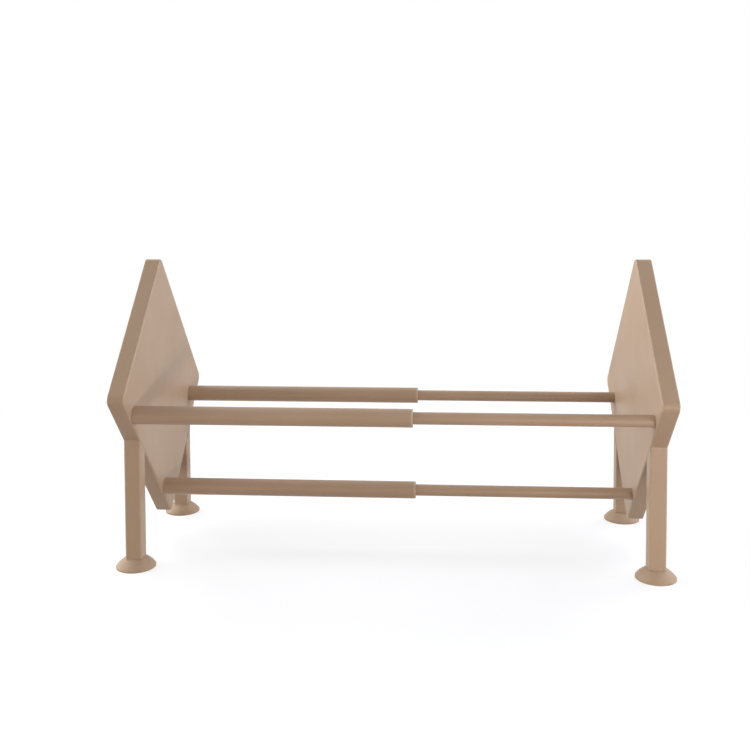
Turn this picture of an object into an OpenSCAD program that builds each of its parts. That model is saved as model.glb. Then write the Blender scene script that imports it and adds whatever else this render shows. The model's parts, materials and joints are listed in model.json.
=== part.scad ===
// Desktop bookshelf of two halves that slide apart on three telescoping rails.
// Millimetres. X runs along the shelf, Y from front to back and Z up from the desk.

/* [Overall] */
// Width over the two end panels, as stored, almost pulled out
width = 540; // [340:1:560]
// Height of the front corner of the end panels above the desk
knee_h = 181.5; // [172:0.5:210]
// Lean of the shelf from upright, in degrees
lean = 45; // [40:1:48]

/* [End panels] */
// Length of the lower edge, under the shelf
panel_s = 224; // [216:1:245]
// Length of the upper edge, up the front
panel_t = 186; // [170:1:215]
// Thickness of an end panel
panel_w = 17; // [15.5:0.5:20]
// Wall of the moulded shell, and thickness of its cover
panel_wall = 2.3; // [2:0.1:2.6]
// Radius of the front and rear corners
panel_r = 8; // [5:0.5:12]
// Radius of the top and bottom corners
point_r = 6; // [5:0.5:12]
// Rounding of the edges that face inwards
panel_edge_r = 2.2; // [1:0.1:3]
// Rounding of the outer edges
rim_edge_r = 1.2; // [0.6:0.1:2]
// Rounding of the cover's edge
cover_edge_r = 0.7; // [0.4:0.1:1.2]
// Thickness of the ribs inside
rib_w = 1.4; // [1:0.1:2.4]
// Spacing of the ribs along the lower edge
rib_pitch_s = 45; // [30:1:60]
// Spacing of the ribs along the upper edge
rib_pitch_t = 45; // [30:1:60]

/* [Legs and feet] */
// Distance of the front legs behind the front corner
front_leg_y = 57.4; // [52:0.2:70]
// Distance of the rear legs behind the bottom corner
rear_leg_back = 74; // [48:0.2:78]
// Width of a leg along the shelf
leg_w = 17; // [15:0.2:18]
// Depth of a leg from front to back
leg_d = 16.5; // [11:0.5:18]
// Wall of a leg
leg_wall = 2.3; // [1.6:0.1:2.6]
// Rounding of a leg's upright edges
leg_r = 2; // [1:0.1:3]
// Reach of a tenon into the leg
tenon_down = 20; // [14:1:30]
// Reach of a tenon into the panel
tenon_up = 18; // [14:1:22]
// Wall round a tenon's pocket
pocket_wall = 1.8; // [1.2:0.1:2.4]
// Height of a foot under the leg
foot_h = 10.5; // [8:0.5:16]
// Diameter of a foot on the desk
foot_d = 40; // [36:0.5:48]
// Diameter of a foot under the leg
foot_top_d = 18; // [17:0.5:22]
// Thickness of a foot's rim
foot_rim = 1.8; // [0.6:0.1:2.4]
// Bulge of a foot's cone, out of a straight line
foot_bulge = 0.9; // [0.3:0.1:1.8]
// Width of the flat ring that stands on the desk
foot_ring = 5; // [3:0.5:8]
// Hollow under a foot
foot_dish = 2.2; // [1:0.1:3]
// Diameter of a foot's stem
stem_d = 5; // [4:0.2:5.6]
// Length of the plug in the lower end of a leg
foot_plug_l = 12; // [9:0.5:20]

/* [Rails] */
// Outer diameter of a sleeve
sleeve_d = 18; // [17:0.5:20]
// Wall of a sleeve
sleeve_wall = 1.5; // [1.2:0.1:1.8]
// Length of a sleeve with its bush
sleeve_l = 276; // [240:1:285]
// Diameter of a rod
rod_d = 12; // [11:0.5:12.5]
// Wall of a rod
rod_wall = 1.2; // [1:0.1:1.6]
// Length of a guide bush inside its sleeve
bush_l = 24; // [16:1:30]
// Flange of a guide bush
flange_l = 2; // [1.2:0.1:3]
// Length of a stop cap
cap_l = 8; // [6:0.5:12]
// Wall at the end of a stop cap
cap_wall = 2; // [1.2:0.1:3]
// Travel left from the stored width to fully pulled out
pull_out = 10.2; // [5.2:0.5:20.2]
// Gap between the lower edge of a panel and the sleeves
rail_inset = 0.5; // [0.5:0.1:3]
// Place of the front rail along the lower edge
front_rail_s = 37; // [33:1:48]
// Distance of the bottom rail in front of the bottom corner, along the lower edge
bottom_rail_in = 43; // [32:1:59]
// Distance of the back rail in from the rear edge
back_rail_in = 26; // [22:1:48]
// Place of the back rail along the upper edge
back_rail_t = 142; // [128:1:150]

/* [Rail fixings] */
// Diameter of the spigot of an end plug
spigot_d = 9; // [8:0.5:9.4]
// Depth of a rail socket in the panel
socket_l = 8.5; // [7:0.5:9.5]
// Wall of a rail socket
boss_wall = 2.8; // [2:0.1:3.2]
// Floor of a rail socket
boss_floor = 2; // [1.5:0.1:2.5]
// Length of an end plug inside its rail
plug_l = 11; // [10:0.5:14]
// Floor of a screw well in the cover
well_floor = 1.5; // [1.2:0.1:2]
// Wall of a screw well
well_wall = 1.6; // [1:0.1:1.8]
// Diameter of a screw cap
screw_cap_d = 10; // [9.6:0.2:10.8]
// Thickness of a screw cap
screw_cap_l = 1.3; // [1:0.1:1.5]
// Diameter of a screw
screw_d = 3.5; // [3:0.1:4]
// Length of a screw under its head
screw_l = 16; // [12:0.5:18]
// Diameter of a screw head
head_d = 7; // [6:0.2:7.6]
// Height of a screw head
head_h = 2; // [1.6:0.1:2.4]

/* [Clearances] */
// Gap on each side of a pressed or glued piece
press_gap = 0.05; // [0.02:0.01:0.15]
// Gap on each side of a piece that slides
slide_gap = 0.08; // [0.03:0.01:0.1]
// Gap round the cover, in a socket and round a tenon
seat_gap = 0.15; // [0.1:0.05:0.3]

/* [Hidden] */
$fn = 64;
cream = "#e2d3c2";
pale = "#eee6da";
soft = "#e6dccd";
steel = "#b8b9bb";

// Half of the clear width between the end panels
bay_half = width / 2 - panel_w;
leg_x = bay_half + panel_w / 2;

// Corner radii of the panel: front, bottom, rear, top
corner_r = [panel_r, point_r, panel_r, point_r];
// Distance of the middle of the panel behind its front corner
mid_y = (panel_s * cos(lean) + panel_t * sin(lean)) / 2;
// The shelf is centred on Y = 0, so its sharp front corner lies here
knee_y = -mid_y;

sleeve_r = sleeve_d / 2;
sleeve_ir = sleeve_r - sleeve_wall;
rod_r = rod_d / 2;
rod_ir = rod_r - rod_wall;
rail_t = sleeve_r + rail_inset;
rails = [[front_rail_s, rail_t], [panel_s - bottom_rail_in, rail_t], [panel_s - back_rail_in, back_rail_t]];
// Distance of the rear legs behind the front corner
rear_leg_y = panel_s * cos(lean) + rear_leg_back;

// Places along a sleeve, from the left panel
mouth = sleeve_l - flange_l;
bush_end = mouth - bush_l;
// Length of a rod with its stop cap, from the right panel
rod_l = 2 * bay_half - bush_end + pull_out + cap_l;

spigot_r = spigot_d / 2;
socket_r = spigot_r + seat_gap;
boss_r = socket_r + boss_wall;
boss_h = socket_l + boss_floor;
well_r = screw_cap_d / 2 + press_gap;
head_seat = boss_h + well_floor;
screw_hole_r = screw_d / 2 + seat_gap;
pilot_r = screw_d / 2 + press_gap;
recess_w = head_d / 8;
recess_l = head_d * 0.6;

inner_h = panel_w - panel_wall;
leg_bore_w = leg_w - 2 * leg_wall;
leg_bore_d = leg_d - 2 * leg_wall;
tenon_w = min(leg_bore_w, inner_h - panel_wall) - 2 * press_gap;
tenon_d = leg_bore_d - 2 * press_gap;
tenon_tip = tenon_d / 4;
slot_d = tenon_d + 2 * press_gap;
pocket_d = slot_d + 2 * pocket_wall;
foot_r = foot_d / 2;
foot_top_r = foot_top_d / 2;
far = 400;
over = 1;

// Height of the lower edge of a panel, or of its rear edge, at a distance behind the front corner
function under_front(y) = knee_h - y * tan(lean);
function under_rear(y) = knee_h + (y * cos(lean) - panel_s) / sin(lean);
function leg_top(y, rear) = rear ? under_rear(y) : under_front(y);

// Frame of the right end panel: x down the lower edge, y up the upper edge, z outwards
module in_panel() {
    translate([bay_half, knee_y, knee_h]) rotate([-lean, 0, 0]) rotate([90, 0, 90]) children();
}

// Inside the panel's frame: x level towards the back and y upright, from the front corner
module upright() {
    rotate([0, 0, lean]) children();
}

module mirrored() {
    mirror([1, 0, 0]) children();
}

// Each rail's place in the panel's frame
module at_rails() {
    for (p = rails) translate(p) children();
}

// Frame of one rail: z along the shelf, from the middle
module on_rail(i) {
    s = rails[i][0];
    t = rails[i][1];
    translate([0, knee_y + s * cos(lean) + t * sin(lean), knee_h - s * sin(lean) + t * cos(lean)])
        rotate([0, 90, 0]) children();
}

// Frame of a right leg: z up from the desk
module at_leg(y) {
    translate([leg_x, knee_y + y, 0]) children();
}

// Half section of a plate from its middle to its edge, with both corners of the edge rounded
module edge_section(depth, height, r0, r1) {
    translate([0, r0]) square([depth, height - r0 - r1]);
    square([depth - r0, height / 2]);
    translate([0, height / 2]) square([depth - r1, height / 2]);
    if (r0 > 0) translate([depth - r0, r0]) circle(r0);
    if (r1 > 0) translate([depth - r1, height - r1]) circle(r1);
}

module edge_strip(length, depth, height, r0, r1) {
    rotate([90, 0, 90]) linear_extrude(length) edge_section(depth, height, r0, r1);
}

// Edges of the panel's outline, its corner radii and their centres, when drawn in by inset
function drawn_s(inset) = panel_s - 2 * inset;
function drawn_t(inset) = panel_t - 2 * inset;
function drawn_r(inset) = [for (c = corner_r) c - inset];
function drawn_centres(s, t, r) = [[r[0], r[0]], [s - r[1], r[1]], [s - r[2], t - r[2]], [r[3], t - r[3]]];

// The panel's outline, drawn in by inset
module outline(inset) {
    s = drawn_s(inset);
    t = drawn_t(inset);
    r = drawn_r(inset);
    centres = drawn_centres(s, t, r);
    translate([inset, inset]) {
        for (i = [0:3]) translate(centres[i]) circle(r[i]);
        polygon([[r[0], 0], [s - r[1], 0], [s, r[1]], [s, t - r[2]],
            [s - r[2], t], [r[3], t], [0, t - r[3]], [0, r[0]]]);
    }
}

// Rim of a plate: a round corner at each end of four straight strips
module plate_edge(inset, height, r0, r1) {
    s = drawn_s(inset);
    t = drawn_t(inset);
    r = drawn_r(inset);
    centres = drawn_centres(s, t, r);
    // Strips are as deep as the widest corner, so that each meets the corners at its ends
    d = max(r);
    translate([inset, inset, 0]) {
        for (i = [0:3])
            translate(centres[i]) rotate([0, 0, 180 + 90 * i])
                rotate_extrude(angle = 90) edge_section(r[i], height, r0, r1);
        translate([r[0], d, 0]) mirror([0, 1, 0]) edge_strip(s - r[0] - r[1], d, height, r0, r1);
        translate([s - d, t - r[2], 0]) rotate([0, 0, -90]) edge_strip(t - r[1] - r[2], d, height, r0, r1);
        translate([r[3], t - d, 0]) edge_strip(s - r[2] - r[3], d, height, r0, r1);
        translate([d, r[0], 0]) rotate([0, 0, 90]) edge_strip(t - r[0] - r[3], d, height, r0, r1);
    }
}

// Plate with the panel's outline, drawn in by inset, and with rounded edges below and above
module plate(inset, height, r0 = 0, r1 = 0) {
    linear_extrude(height) outline(inset + max(r0, r1));
    if (r0 + r1 > 0) plate_edge(inset, height, r0, r1);
}

module round_rect(x, y, r) {
    square([x - 2 * r, y], center = true);
    square([x, y - 2 * r], center = true);
    for (i = [-1, 1], j = [-1, 1])
        translate([i * (x / 2 - r), j * (y / 2 - r)]) circle(r);
}

module tube(length, r, ir) {
    difference() {
        cylinder(h = length, r = r);
        translate([0, 0, -over]) cylinder(h = length + 2 * over, r = ir);
    }
}

// Ribs that cross the hollow of the shell, up to the cover
module ribs() {
    for (s = [rib_pitch_s : rib_pitch_s : panel_s - rib_pitch_s / 2])
        translate([s - rib_w / 2, panel_wall / 2, panel_wall / 2])
            cube([rib_w, panel_t - panel_wall, inner_h - panel_wall / 2]);
    for (t = [rib_pitch_t : rib_pitch_t : panel_t - rib_pitch_t / 2])
        translate([panel_wall / 2, t - rib_w / 2, panel_wall / 2])
            cube([panel_s - panel_wall, rib_w, inner_h - panel_wall / 2]);
}

// Upright box round the top of a leg's tenon, trimmed to the panel
module leg_pocket(y, rear) {
    reach = tenon_up + pocket_wall;
    intersection() {
        translate([0, 0, panel_wall / 2]) plate(panel_wall / 2, inner_h - panel_wall / 2);
        upright() translate([y - pocket_d / 2, leg_top(y, rear) - knee_h - reach, 0])
            cube([pocket_d, 2 * reach, inner_h]);
    }
}

// Space for a tenon inside the panel
module tenon_slot(y, rear) {
    upright() translate([y - slot_d / 2, leg_top(y, rear) - knee_h - tenon_up, panel_wall])
        cube([slot_d, 2 * tenon_up, panel_w]);
}

module panel_shell() {
    color(cream) in_panel() difference() {
        union() {
            difference() {
                plate(0, panel_w, panel_edge_r, rim_edge_r);
                translate([0, 0, panel_wall]) plate(panel_wall, panel_w);
            }
            ribs();
            leg_pocket(front_leg_y, false);
            leg_pocket(rear_leg_y, true);
            at_rails() cylinder(h = boss_h, r = boss_r);
        }
        tenon_slot(front_leg_y, false);
        tenon_slot(rear_leg_y, true);
        at_rails() {
            translate([0, 0, -over]) cylinder(h = socket_l + over, r = socket_r);
            cylinder(h = panel_w, r = screw_hole_r);
            translate([0, 0, boss_h]) cylinder(h = panel_w, r = well_r + well_wall + seat_gap);
        }
    }
}

// Outer plate of an end panel, with a well for each rail screw
module panel_cover() {
    color(cream) in_panel() difference() {
        union() {
            translate([0, 0, panel_w]) mirror([0, 0, 1])
                plate(panel_wall + seat_gap, panel_wall, cover_edge_r);
            at_rails() translate([0, 0, boss_h])
                cylinder(h = inner_h - boss_h + over, r = well_r + well_wall);
        }
        at_rails() {
            translate([0, 0, head_seat]) cylinder(h = panel_w, r = well_r);
            cylinder(h = panel_w, r = screw_hole_r);
        }
    }
}

module rail_screws() {
    color(steel) in_panel() at_rails() translate([0, 0, head_seat]) {
        translate([0, 0, -screw_l]) cylinder(h = screw_l + head_h / 2, d = screw_d);
        difference() {
            union() {
                cylinder(h = head_h / 2, d = head_d);
                translate([0, 0, head_h / 2]) cylinder(h = head_h / 2, d1 = head_d, d2 = head_d * 0.7);
            }
            for (a = [0, 90])
                rotate([0, 0, a]) translate([-recess_w / 2, -recess_l / 2, head_h / 2])
                    cube([recess_w, recess_l, head_h]);
        }
    }
}

// Caps that press into the wells, flush with the cover
module screw_caps() {
    cap_r = screw_cap_d / 2;
    skirt = (screw_cap_d - head_d) / 4;
    depth = panel_w - head_seat;
    color(cream) in_panel() at_rails() translate([0, 0, head_seat]) rotate_extrude()
        polygon([[0, depth - screw_cap_l], [cap_r - skirt, depth - screw_cap_l], [cap_r - skirt, 0],
            [cap_r, 0], [cap_r, depth - screw_cap_l / 4], [cap_r - screw_cap_l / 4, depth], [0, depth]]);
}

// Hollow leg, mitred to the underside of the panel
module leg(y, rear) {
    reach = rear ? [-far, -far / 2] : [-far / 2, 0];
    size = rear ? [far + panel_s, far] : [2 * far, far];
    color(cream) difference() {
        at_leg(y) translate([0, 0, foot_h]) linear_extrude(knee_h - foot_h)
            round_rect(leg_w, leg_d, leg_r);
        at_leg(y) translate([0, 0, foot_h - over]) linear_extrude(knee_h)
            square([leg_bore_w, leg_bore_d], center = true);
        in_panel() translate([reach[0], reach[1], -panel_w]) cube([size[0], size[1], 3 * panel_w]);
    }
}

// Insert that joins a leg to its pocket, with tapered ends
module tenon(y, rear) {
    a = tenon_d / 2;
    b = a - tenon_tip;
    color(pale) at_leg(y) translate([-tenon_w / 2, 0, leg_top(y, rear)]) rotate([90, 0, 90])
        linear_extrude(tenon_w)
            polygon([[-b, -tenon_down], [b, -tenon_down],
                [a, tenon_tip - tenon_down], [a, tenon_up - tenon_tip],
                [b, tenon_up], [-b, tenon_up],
                [-a, tenon_up - tenon_tip], [-a, tenon_tip - tenon_down]]);
}

module foot_plug(y) {
    color(pale) at_leg(y) translate([0, 0, foot_h]) difference() {
        linear_extrude(foot_plug_l) square([leg_bore_w - 2 * press_gap, tenon_d], center = true);
        translate([0, 0, -over]) cylinder(h = foot_plug_l + 2 * over, r = stem_d / 2 + press_gap);
    }
}

// Soft flared foot: a bulging cone over a shallow dish, with a stem that presses into the leg
module foot(y) {
    run = foot_r - foot_top_r;
    rise = foot_h - foot_rim;
    chord = norm([run, rise]);
    bulge_r = chord * chord / (8 * foot_bulge) + foot_bulge / 2;
    back = bulge_r - foot_bulge;
    dish_r = foot_r - foot_ring;
    dish_ball = (dish_r * dish_r + foot_dish * foot_dish) / (2 * foot_dish);
    bulge_centre = [foot_top_r + run / 2 - back * rise / chord, foot_rim + rise / 2 - back * run / chord];
    stem_end = foot_h + foot_plug_l - stem_d / 2;
    color(soft) at_leg(y) {
        rotate_extrude() difference() {
            intersection() {
                square([foot_r, foot_h]);
                translate(bulge_centre) circle(bulge_r, $fn = 180);
            }
            translate([0, foot_dish - dish_ball]) circle(dish_ball, $fn = 360);
        }
        translate([0, 0, foot_h - over]) cylinder(h = stem_end - foot_h + over, d = stem_d);
        translate([0, 0, stem_end]) cylinder(h = stem_d / 2, d1 = stem_d, d2 = stem_d / 2);
    }
}

module sleeve(i) {
    color(cream) on_rail(i) translate([0, 0, -bay_half]) tube(mouth, sleeve_r, sleeve_ir);
}

// Guide in the mouth of a sleeve, with a flange over the sleeve's end and a flared way in
module bush(i) {
    bore = rod_r + slide_gap;
    flare = (sleeve_r - bore) / 4;
    rim = flange_l / 4;
    color(pale) on_rail(i) translate([0, 0, -bay_half]) rotate_extrude()
        polygon([[bore, bush_end], [sleeve_ir - press_gap, bush_end], [sleeve_ir - press_gap, mouth],
            [sleeve_r, mouth], [sleeve_r, sleeve_l - rim], [sleeve_r - rim, sleeve_l],
            [bore + flare, sleeve_l], [bore, sleeve_l - flare]]);
}

module sleeve_plug(i) {
    color(pale) on_rail(i) translate([0, 0, -bay_half]) mirror([0, 0, 1]) end_plug(sleeve_ir - press_gap);
}

module rod(i) {
    color(cream) on_rail(i) translate([0, 0, bay_half - rod_l + cap_wall])
        tube(rod_l - cap_wall, rod_r, rod_ir);
}

// Cap on the inner end of a rod, which slides in the sleeve and stops at the bush
module stop_cap(i) {
    color(pale) on_rail(i) translate([0, 0, bay_half - rod_l]) difference() {
        cylinder(h = cap_l, r = sleeve_ir - slide_gap);
        translate([0, 0, cap_wall]) cylinder(h = cap_l, r = rod_r + press_gap);
    }
}

module rod_plug(i) {
    color(pale) on_rail(i) translate([0, 0, bay_half]) end_plug(rod_ir - press_gap);
}

// Plug in the end of a rail, with a spigot for the panel's socket and a pilot hole for the screw
module end_plug(r) {
    tip = socket_l - seat_gap;
    pilot_end = head_seat - screw_l - over;
    difference() {
        union() {
            translate([0, 0, -plug_l]) cylinder(h = plug_l, r = r);
            translate([0, 0, -over]) cylinder(h = tip + over, r = min(r, spigot_r));
            cylinder(h = tip, r = spigot_r);
        }
        translate([0, 0, pilot_end]) cylinder(h = far, r = pilot_r);
    }
}

mirrored() panel_shell();  // left_panel_shell
mirrored() panel_cover();  // left_panel_cover
mirrored() rail_screws();  // left_rail_screws
mirrored() screw_caps();  // left_screw_caps
mirrored() leg(front_leg_y, false);  // left_front_leg
mirrored() leg(rear_leg_y, true);  // left_rear_leg
mirrored() tenon(front_leg_y, false);  // left_front_tenon
mirrored() tenon(rear_leg_y, true);  // left_rear_tenon
mirrored() foot_plug(front_leg_y);  // left_front_foot_plug
mirrored() foot_plug(rear_leg_y);  // left_rear_foot_plug
mirrored() foot(front_leg_y);  // left_front_foot
mirrored() foot(rear_leg_y);  // left_rear_foot
sleeve(0);  // front_sleeve
sleeve(1);  // bottom_sleeve
sleeve(2);  // back_sleeve
bush(0);  // front_bush
bush(1);  // bottom_bush
bush(2);  // back_bush
sleeve_plug(0);  // front_sleeve_plug
sleeve_plug(1);  // bottom_sleeve_plug
sleeve_plug(2);  // back_sleeve_plug
panel_shell();  // right_panel_shell
panel_cover();  // right_panel_cover
rail_screws();  // right_rail_screws
screw_caps();  // right_screw_caps
leg(front_leg_y, false);  // right_front_leg
leg(rear_leg_y, true);  // right_rear_leg
tenon(front_leg_y, false);  // right_front_tenon
tenon(rear_leg_y, true);  // right_rear_tenon
foot_plug(front_leg_y);  // right_front_foot_plug
foot_plug(rear_leg_y);  // right_rear_foot_plug
foot(front_leg_y);  // right_front_foot
foot(rear_leg_y);  // right_rear_foot
rod(0);  // front_rod
rod(1);  // bottom_rod
rod(2);  // back_rod
stop_cap(0);  // front_stop_cap
stop_cap(1);  // bottom_stop_cap
stop_cap(2);  // back_stop_cap
rod_plug(0);  // front_rod_plug
rod_plug(1);  // bottom_rod_plug
rod_plug(2);  // back_rod_plug
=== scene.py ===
# Looks of the sliding desktop bookshelf: satin cream mouldings, coated rails and soft feet,
# on a white floor under soft light, seen as in the photograph.
import json
import math

import bpy
from mathutils import Matrix, Vector


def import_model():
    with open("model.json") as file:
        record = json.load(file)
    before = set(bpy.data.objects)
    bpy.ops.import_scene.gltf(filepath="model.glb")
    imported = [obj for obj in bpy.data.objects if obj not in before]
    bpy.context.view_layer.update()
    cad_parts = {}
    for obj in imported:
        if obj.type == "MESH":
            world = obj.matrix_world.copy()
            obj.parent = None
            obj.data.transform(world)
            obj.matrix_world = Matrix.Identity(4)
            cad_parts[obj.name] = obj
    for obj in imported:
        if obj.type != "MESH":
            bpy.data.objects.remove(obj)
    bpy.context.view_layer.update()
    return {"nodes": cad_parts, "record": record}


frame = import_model()

nodes = frame["nodes"]
scene = bpy.context.scene

# Camera, from a fit to the photograph's outlines: its place in metres, its turns in degrees,
# lens and sensor in millimetres, the shift as a share of the picture, and the nearest and
# farthest that it sees in metres
CAMERA_PLACE = (0.0486, -1.0145, 0.3701)
CAMERA_YAW = 3.929
CAMERA_PITCH = 2.825
CAMERA_ROLL = 0.205
LENS = 45.10
SENSOR = 36.0
SHIFT_DOWN = 0.1667
NEAREST = 0.05
FARTHEST = 20.0

# Colours of the pieces as they are seen, from 0 to 255
CREAM = (178, 153, 130)
CREAM_LIT = (191, 168, 147)
CREAM_DEEP = (166, 141, 117)
COAT = (176, 150, 127)
COAT_LIT = (189, 165, 143)
COAT_DEEP = (164, 138, 115)
PALE = (196, 176, 156)
PALE_DEEP = (184, 163, 142)
RUBBER = (185, 162, 140)
RUBBER_DEEP = (170, 146, 123)
ZINC = (168, 168, 170)
ZINC_DEEP = (128, 128, 132)

# Colours of the light, from 0 to 255
NEUTRAL = (255, 252, 248)
LOW_WARM = (250, 238, 228)
LOW_WARMEST = (255, 214, 165)
SIDE_COOL = (234, 242, 255)

# Lamps in pairs, mirrored about the middle of the shelf: places and sizes in metres, and watts
LAMP_TARGET = (0.0, 0.0, 0.15)
LOW_PLACE = (0.55, -0.8, 0.05)
LOW_SIZE = (0.8, 0.1)
LOW_WATTS = (0.5, 3.3)
SIDE_PLACE = (3.0, 0.0, 0.95)
SIDE_SIZE = (3.2, 2.0)
SIDE_WATTS = (76.0, 38.0)
BACK_PLACE = (1.1, 0.8, 1.2)
BACK_SIZE = (1.0, 1.0)
BACK_WATTS = (9.2, 9.2)

# The room's light, and the white that is seen instead of it
ROOM = 0.375
WHITE = (1.0, 1.0, 1.0, 1.0)

# Floor: the colour that lights the object, with its roughness and shine, the colour that takes
# the shadow and the glow added to it, then its half width and the distances from the middle over
# which it turns plain white, in metres
FLOOR = (156, 148, 140)
FLOOR_ROUGH = 0.9
FLOOR_SHINE = 0.1
FLOOR_SEEN = (167, 170, 177)
FLOOR_GLOW = 0.68
FLOOR_HALF = 4.0
FLOOR_FADE = (0.45, 0.95)

# Edges made paler, partly by wear and partly as a painted highlight: their reach in metres, the
# cosines between the true face and the rounded one at which the paleness starts and is full, and
# how many rays round each point
EDGE_REACH = 0.0012
EDGE_BEND = (0.99, 0.86)
EDGE_SAMPLES = 6


def linear(colour):
    """An sRGB colour from 0 to 255 as linear light with full opacity."""
    def one(level):
        level /= 255
        return level / 12.92 if level <= 0.04045 else ((level + 0.055) / 1.055) ** 2.4
    return tuple(one(level) for level in colour) + (1.0,)


class Graph:
    """Short names for the few node steps that every material here is made of."""

    def __init__(self, name):
        self.material = bpy.data.materials.new(name)
        self.material.use_nodes = True
        self.tree = self.material.node_tree
        self.shader = self.tree.nodes["Principled BSDF"]
        surface = self.add("ShaderNodeTexCoord")
        self.place = surface.outputs["Object"]
        self.facing = surface.outputs["Normal"]

    def add(self, kind, **settings):
        """A new node of the kind, with its settings."""
        node = self.tree.nodes.new(kind)
        for key, value in settings.items():
            setattr(node, key, value)
        return node

    def link(self, output, socket):
        """Joins a node's output to a socket."""
        self.tree.links.new(output, socket)

    def stretched(self, factors):
        """The place on the object, with each axis stretched by its factor."""
        mapping = self.add("ShaderNodeMapping")
        mapping.inputs["Scale"].default_value = factors
        self.link(self.place, mapping.inputs["Vector"])
        return mapping.outputs["Vector"]

    def noise(self, waves, detail=2.0, rough=0.5, at=None):
        """Soft noise from 0 to 1, with so many waves to the metre."""
        node = self.add("ShaderNodeTexNoise")
        node.inputs["Scale"].default_value = waves
        node.inputs["Detail"].default_value = detail
        node.inputs["Roughness"].default_value = rough
        self.link(at or self.place, node.inputs["Vector"])
        return node.outputs["Fac"]

    def spread(self, value, span, onto=(0.0, 1.0)):
        """The value's span, laid onto another one and clamped to it."""
        node = self.add("ShaderNodeMapRange", clamp=True)
        for side, ends in (("From", span), ("To", onto)):
            for end, number in zip(("Min", "Max"), ends):
                node.inputs[side + " " + end].default_value = number
        self.link(value, node.inputs["Value"])
        return node.outputs["Result"]

    def share(self, value, most):
        """The value from 0 to 1, scaled so that 1 becomes the given share."""
        return self.spread(value, (0.0, 1.0), (0.0, most))

    def mix(self, factor, first, second):
        """The first colour where the factor is 0 and the second where it is 1."""
        node = self.add("ShaderNodeMix", data_type="RGBA")
        self.link(factor, node.inputs["Factor"])
        for socket, colour in ((node.inputs["A"], first), (node.inputs["B"], second)):
            if isinstance(colour, tuple):
                socket.default_value = linear(colour)
            else:
                self.link(colour, socket)
        return node.outputs["Result"]

    def math(self, operation, *values):
        """One step of arithmetic on outputs and numbers."""
        node = self.add("ShaderNodeMath", operation=operation)
        for socket, value in zip(node.inputs, values):
            if isinstance(value, float):
                socket.default_value = value
            else:
                self.link(value, socket)
        return node.outputs[0]

    def edges(self):
        """1 along sharp edges, 0 on flat faces."""
        bevel = self.add("ShaderNodeBevel", samples=EDGE_SAMPLES)
        bevel.inputs["Radius"].default_value = EDGE_REACH
        geometry = self.add("ShaderNodeNewGeometry")
        likeness = self.add("ShaderNodeVectorMath", operation="DOT_PRODUCT")
        self.link(bevel.outputs["Normal"], likeness.inputs[0])
        self.link(geometry.outputs["Normal"], likeness.inputs[1])
        return self.spread(likeness.outputs["Value"], EDGE_BEND)

    def roundings(self):
        """1 halfway round the edges between a side face and the faces that run along the shelf."""
        split = self.add("ShaderNodeSeparateXYZ")
        self.link(self.facing, split.inputs[0])
        side = self.math("MULTIPLY", split.outputs["X"], split.outputs["X"])
        rest = self.math("SUBTRACT", 1.0, side)
        both = self.math("MULTIPLY", side, rest)
        return self.math("MULTIPLY", both, 4.0)

    def bumps(self, *layers):
        """Height layers, each with the depth in metres and the strength of its relief."""
        below = None
        for height, (depth, strength) in layers:
            bump = self.add("ShaderNodeBump")
            bump.inputs["Strength"].default_value = strength
            bump.inputs["Distance"].default_value = depth
            self.link(height, bump.inputs["Height"])
            if below:
                self.link(below, bump.inputs["Normal"])
            below = bump.outputs["Normal"]
        self.link(below, self.shader.inputs["Normal"])

    def finish(self, colour, roughness, **constants):
        """The material, with the shader's other sockets set to constants."""
        self.link(colour, self.shader.inputs["Base Color"])
        self.link(roughness, self.shader.inputs["Roughness"])
        for name, value in constants.items():
            self.shader.inputs[name.replace("_", " ")].default_value = value
        return self.material


# Moulded plastic: waves to the metre, relief as depth in metres and strength, roughness, how
# pale specks and the corners become, where the corners' paleness is partly rubbing wear and
# partly a painted highlight, and how much smoother the corners are
MOULD_CLOUDS = 9.0
MOULD_DULLNESS = 22.0
MOULD_WAVES = 35.0
MOULD_WEAR_AND_HIGHLIGHT = 55.0
PANEL_GRAIN = 1500.0
LEG_GRAIN = 1800.0
INSERT_GRAIN = 2200.0
GUIDE_GRAIN = 2600.0
SPECKS_TO_GRAIN = 0.35
MOULD_RELIEF = (0.0006, 0.10)
GRAIN_RELIEF = (0.00008, 0.45)
MOULD_ROUGH = (0.43, 0.55)
SPECK_PALENESS = 0.16
RUB_AND_HIGHLIGHT_PALENESS = 0.75
RUB_POLISH = 0.12


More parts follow.
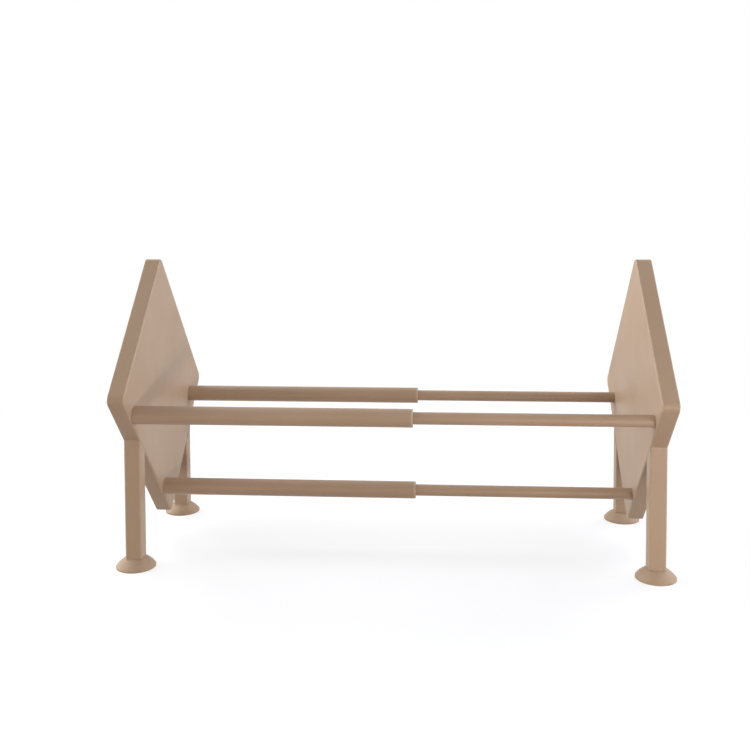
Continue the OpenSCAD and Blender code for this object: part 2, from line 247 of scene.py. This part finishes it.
def moulded(name, base, lit, deep, grain):
    """Satin moulded plastic: fine grain, faint flow clouds, and paler edges that are partly rubbed
    and partly a painted highlight.
    """
    graph = Graph(name)
    clouds = graph.noise(MOULD_CLOUDS, detail=3.0, rough=0.55)
    clouds = graph.spread(clouds, (0.25, 0.75), onto=(0.30, 1.0))
    specks = graph.spread(graph.noise(grain * SPECKS_TO_GRAIN), (0.3, 0.75))
    wear_and_highlight_patches = graph.noise(MOULD_WEAR_AND_HIGHLIGHT, detail=5.0, rough=0.65)
    wear_and_highlight_patches = graph.spread(wear_and_highlight_patches, (0.30, 0.62), onto=(0.35, 1.0))
    # Corners made paler: partly rubbing wear and partly a painted highlight along the edges
    corners = graph.math("MAXIMUM", graph.roundings(), graph.edges())
    rub_and_highlight = graph.math("MULTIPLY", corners, wear_and_highlight_patches)
    colour = graph.mix(clouds, deep, base)
    colour = graph.mix(graph.share(specks, SPECK_PALENESS), colour, lit)
    # Paler corners, partly wear and partly a painted highlight on the rounded and sharp edges
    colour = graph.mix(graph.share(rub_and_highlight, RUB_AND_HIGHLIGHT_PALENESS), colour, lit)
    dull = graph.noise(MOULD_DULLNESS, detail=4.0, rough=0.6)
    dull = graph.spread(dull, (0.3, 0.7), onto=MOULD_ROUGH)
    rough = graph.math("SUBTRACT", dull, graph.share(rub_and_highlight, RUB_POLISH))
    graph.bumps((graph.noise(MOULD_WAVES), MOULD_RELIEF), (graph.noise(grain), GRAIN_RELIEF))
    return graph.finish(colour, rough, Specular_IOR_Level=0.45)


# Powder coat: waves to the metre, the stretch of its streaks along the tube, relief as depth in
# metres and strength, roughness from plain to rubbed, and how pale rubbed streaks become
COAT_CLOUDS = 14.0
COAT_PEEL = 620.0
COAT_STREAKS = 900.0
COAT_GRAIN = 2400.0
STREAK_STRETCH = (0.012, 1.0, 1.0)
PEEL_RELIEF = (0.00012, 0.30)
COAT_RELIEF = (0.00003, 0.35)
COAT_ROUGH = (0.46, 0.36)
STREAK_PALENESS = 0.35


def coated(name, base, lit, deep):
    """Powder coat on a tube: a soft orange-peel skin, with faint lengthwise rub marks."""
    graph = Graph(name)
    clouds = graph.spread(graph.noise(COAT_CLOUDS), (0.25, 0.75), onto=(0.35, 1.0))
    along = graph.stretched(STREAK_STRETCH)
    streaks = graph.noise(COAT_STREAKS, detail=3.0, rough=0.6, at=along)
    streaks = graph.spread(streaks, (0.50, 0.74))
    colour = graph.mix(clouds, deep, base)
    colour = graph.mix(graph.share(streaks, STREAK_PALENESS), colour, lit)
    rough = graph.spread(streaks, (0.0, 1.0), onto=COAT_ROUGH)
    peel = graph.noise(COAT_PEEL, detail=1.0)
    graph.bumps((peel, PEEL_RELIEF), (graph.noise(COAT_GRAIN), COAT_RELIEF))
    return graph.finish(colour, rough, Specular_IOR_Level=0.5, Coat_Weight=0.15, Coat_Roughness=0.35)


# Soft rubber: waves to the metre, relief as depth in metres and strength, roughness, and how
# far red, green and blue light go in, in metres
BLOOM = 60.0
RUBBER_GRAIN = 900.0
RUBBER_RELIEF = (0.0001, 0.3)
RUBBER_ROUGH = (0.48, 0.66)
RUBBER_DEPTHS = (0.006, 0.004, 0.003)


def soft_rubber(name, base, deep):
    """Soft feet: matt and slightly waxy, with a fine grain and a dusty bloom."""
    graph = Graph(name)
    bloom = graph.spread(graph.noise(BLOOM, detail=4.0, rough=0.65), (0.35, 0.7))
    colour = graph.mix(bloom, deep, base)
    rough = graph.spread(bloom, (0.0, 1.0), onto=RUBBER_ROUGH)
    graph.bumps((graph.noise(RUBBER_GRAIN), RUBBER_RELIEF))
    return graph.finish(colour, rough, Specular_IOR_Level=0.4, Subsurface_Weight=0.15,
                        Subsurface_Radius=RUBBER_DEPTHS, Subsurface_Scale=1.0)


# Zinc plating: waves to the metre, the span of them that shows, relief as depth in metres and
# strength, and roughness
ZINC_MARKS = 1400.0
ZINC_SPAN = (0.3, 0.7)
ZINC_RELIEF = (0.00003, 0.4)
ZINC_ROUGH = (0.28, 0.42)


def plated(name, base, deep):
    """Zinc-plated steel with fine dull marks."""
    graph = Graph(name)
    marks = graph.noise(ZINC_MARKS, detail=3.0, rough=0.6)
    colour = graph.mix(graph.spread(marks, ZINC_SPAN), deep, base)
    rough = graph.spread(marks, ZINC_SPAN, onto=ZINC_ROUGH)
    graph.bumps((marks, ZINC_RELIEF))
    return graph.finish(colour, rough, Metallic=1.0)


def dress():
    """Gives every node the material of its slot."""
    materials = {
        "panel_plastic": moulded("panel_moulding", CREAM, CREAM_LIT, CREAM_DEEP, PANEL_GRAIN),
        "leg_plastic": moulded("leg_moulding", CREAM, CREAM_LIT, CREAM_DEEP, LEG_GRAIN),
        "rail_tube": coated("rail_coat", COAT, COAT_LIT, COAT_DEEP),
        "guide_plastic": moulded("guide_moulding", PALE, CREAM_LIT, PALE_DEEP, GUIDE_GRAIN),
        "insert_plastic": moulded("insert_moulding", PALE, CREAM_LIT, PALE_DEEP, INSERT_GRAIN),
        "foot_rubber": soft_rubber("foot_rubber", RUBBER, RUBBER_DEEP),
        "screw_steel": plated("screw_plating", ZINC, ZINC_DEEP),
    }
    for part in frame["record"]["subparts"]:
        node = nodes[part["node"]]
        node.data.materials.clear()
        node.data.materials.append(materials[part["material_slot"]])


def turn(degrees, axis):
    """A turn about one axis."""
    return Matrix.Rotation(math.radians(degrees), 3, axis)


def camera():
    """The photograph's view: nearly level, with the lens shifted down to the shelf."""
    data = bpy.data.cameras.new("photo_view")
    data.lens = LENS
    data.sensor_width = SENSOR
    data.shift_y = -SHIFT_DOWN
    data.clip_start = NEAREST
    data.clip_end = FARTHEST
    aim = turn(CAMERA_YAW, "Z") @ turn(-CAMERA_PITCH, "X") @ turn(CAMERA_ROLL, "Y")
    aim = aim @ turn(90, "X")
    view = bpy.data.objects.new("photo_view", data)
    view.matrix_world = Matrix.Translation(CAMERA_PLACE) @ aim.to_4x4()
    scene.collection.objects.link(view)
    scene.camera = view


def lamp(name, place, size, watts, colour):
    """Oval soft lamp that faces the shelf, with its width and height in metres."""
    data = bpy.data.lights.new(name, "AREA")
    data.shape = "ELLIPSE"
    data.size, data.size_y = size
    data.energy = watts
    data.color = linear(colour)[:3]
    light = bpy.data.objects.new(name, data)
    light.location = place
    ahead = Vector(LAMP_TARGET) - Vector(place)
    light.rotation_euler = ahead.to_track_quat("-Z", "Y").to_euler()
    scene.collection.objects.link(light)


def lamp_pair(names, place, size, watts, colours):
    """Two lamps, the first at the left and the second at the right."""
    x, y, z = place
    for name, side, power, colour in zip(names, (-x, x), watts, colours):
        lamp(name, (side, y, z), size, power, colour)


def lamps():
    """Low strips in front, wide lamps far out at the sides, and round ones above and behind."""
    lamp_pair(("low_left", "low_right"), LOW_PLACE, LOW_SIZE, LOW_WATTS, (LOW_WARMEST, LOW_WARM))
    lamp_pair(("left", "right"), SIDE_PLACE, SIDE_SIZE, SIDE_WATTS, (NEUTRAL, SIDE_COOL))
    lamp_pair(("back_left", "back_right"), BACK_PLACE, BACK_SIZE, BACK_WATTS, (NEUTRAL, NEUTRAL))


def shown_apart(tree, lighting, shown, surface):
    """One shader for what lights the object, another for what the camera, mirrors and glass see."""
    rays = tree.nodes.new("ShaderNodeLightPath")
    seen = rays.outputs["Is Camera Ray"]
    for kind in ("Is Glossy Ray", "Is Transmission Ray"):
        either = tree.nodes.new("ShaderNodeMath")
        either.operation = "MAXIMUM"
        tree.links.new(seen, either.inputs[0])
        tree.links.new(rays.outputs[kind], either.inputs[1])
        seen = either.outputs[0]
    mixed = tree.nodes.new("ShaderNodeMixShader")
    tree.links.new(seen, mixed.inputs["Fac"])
    tree.links.new(lighting, mixed.inputs[1])
    tree.links.new(shown, mixed.inputs[2])
    tree.links.new(mixed.outputs[0], surface)


def world():
    """Even soft light from all round, seen as white."""
    made = bpy.data.worlds.new("soft_room")
    made.use_nodes = True
    tree = made.node_tree
    room = tree.nodes["Background"]
    room.inputs["Color"].default_value = linear(NEUTRAL)
    room.inputs["Strength"].default_value = ROOM
    white = tree.nodes.new("ShaderNodeBackground")
    white.inputs["Color"].default_value = WHITE
    white.inputs["Strength"].default_value = 1.0
    surface = tree.nodes["World Output"].inputs["Surface"]
    shown_apart(tree, room.outputs[0], white.outputs[0], surface)
    scene.world = made


def floor():
    """White floor that keeps the object's soft shadow and turns plain white further out."""
    half = FLOOR_HALF
    mesh = bpy.data.meshes.new("floor")
    corners = [(-half, -half, 0), (half, -half, 0), (half, half, 0), (-half, half, 0)]
    mesh.from_pydata(corners, [], [(0, 1, 2, 3)])
    plane = bpy.data.objects.new("floor", mesh)
    scene.collection.objects.link(plane)
    graph = Graph("white_floor")
    graph.shader.inputs["Base Color"].default_value = linear(FLOOR)
    graph.shader.inputs["Roughness"].default_value = FLOOR_ROUGH
    graph.shader.inputs["Specular IOR Level"].default_value = FLOOR_SHINE
    glow = graph.add("ShaderNodeEmission")
    glow.inputs["Strength"].default_value = FLOOR_GLOW
    shadowed = graph.add("ShaderNodeBsdfDiffuse")
    shadowed.inputs["Color"].default_value = linear(FLOOR_SEEN)
    near = graph.add("ShaderNodeAddShader")
    graph.link(shadowed.outputs[0], near.inputs[0])
    graph.link(glow.outputs[0], near.inputs[1])
    white = graph.add("ShaderNodeEmission")
    reach = graph.add("ShaderNodeVectorMath", operation="LENGTH")
    graph.link(graph.place, reach.inputs[0])
    far = graph.spread(reach.outputs["Value"], FLOOR_FADE)
    shown = graph.add("ShaderNodeMixShader")
    graph.link(far, shown.inputs["Fac"])
    graph.link(near.outputs[0], shown.inputs[1])
    graph.link(white.outputs[0], shown.inputs[2])
    surface = graph.tree.nodes["Material Output"].inputs["Surface"]
    shown_apart(graph.tree, graph.shader.outputs[0], shown.outputs[0], surface)
    mesh.materials.append(graph.material)


dress()
camera()
world()
lamps()
floor()

scene.view_settings.view_transform = "Standard"
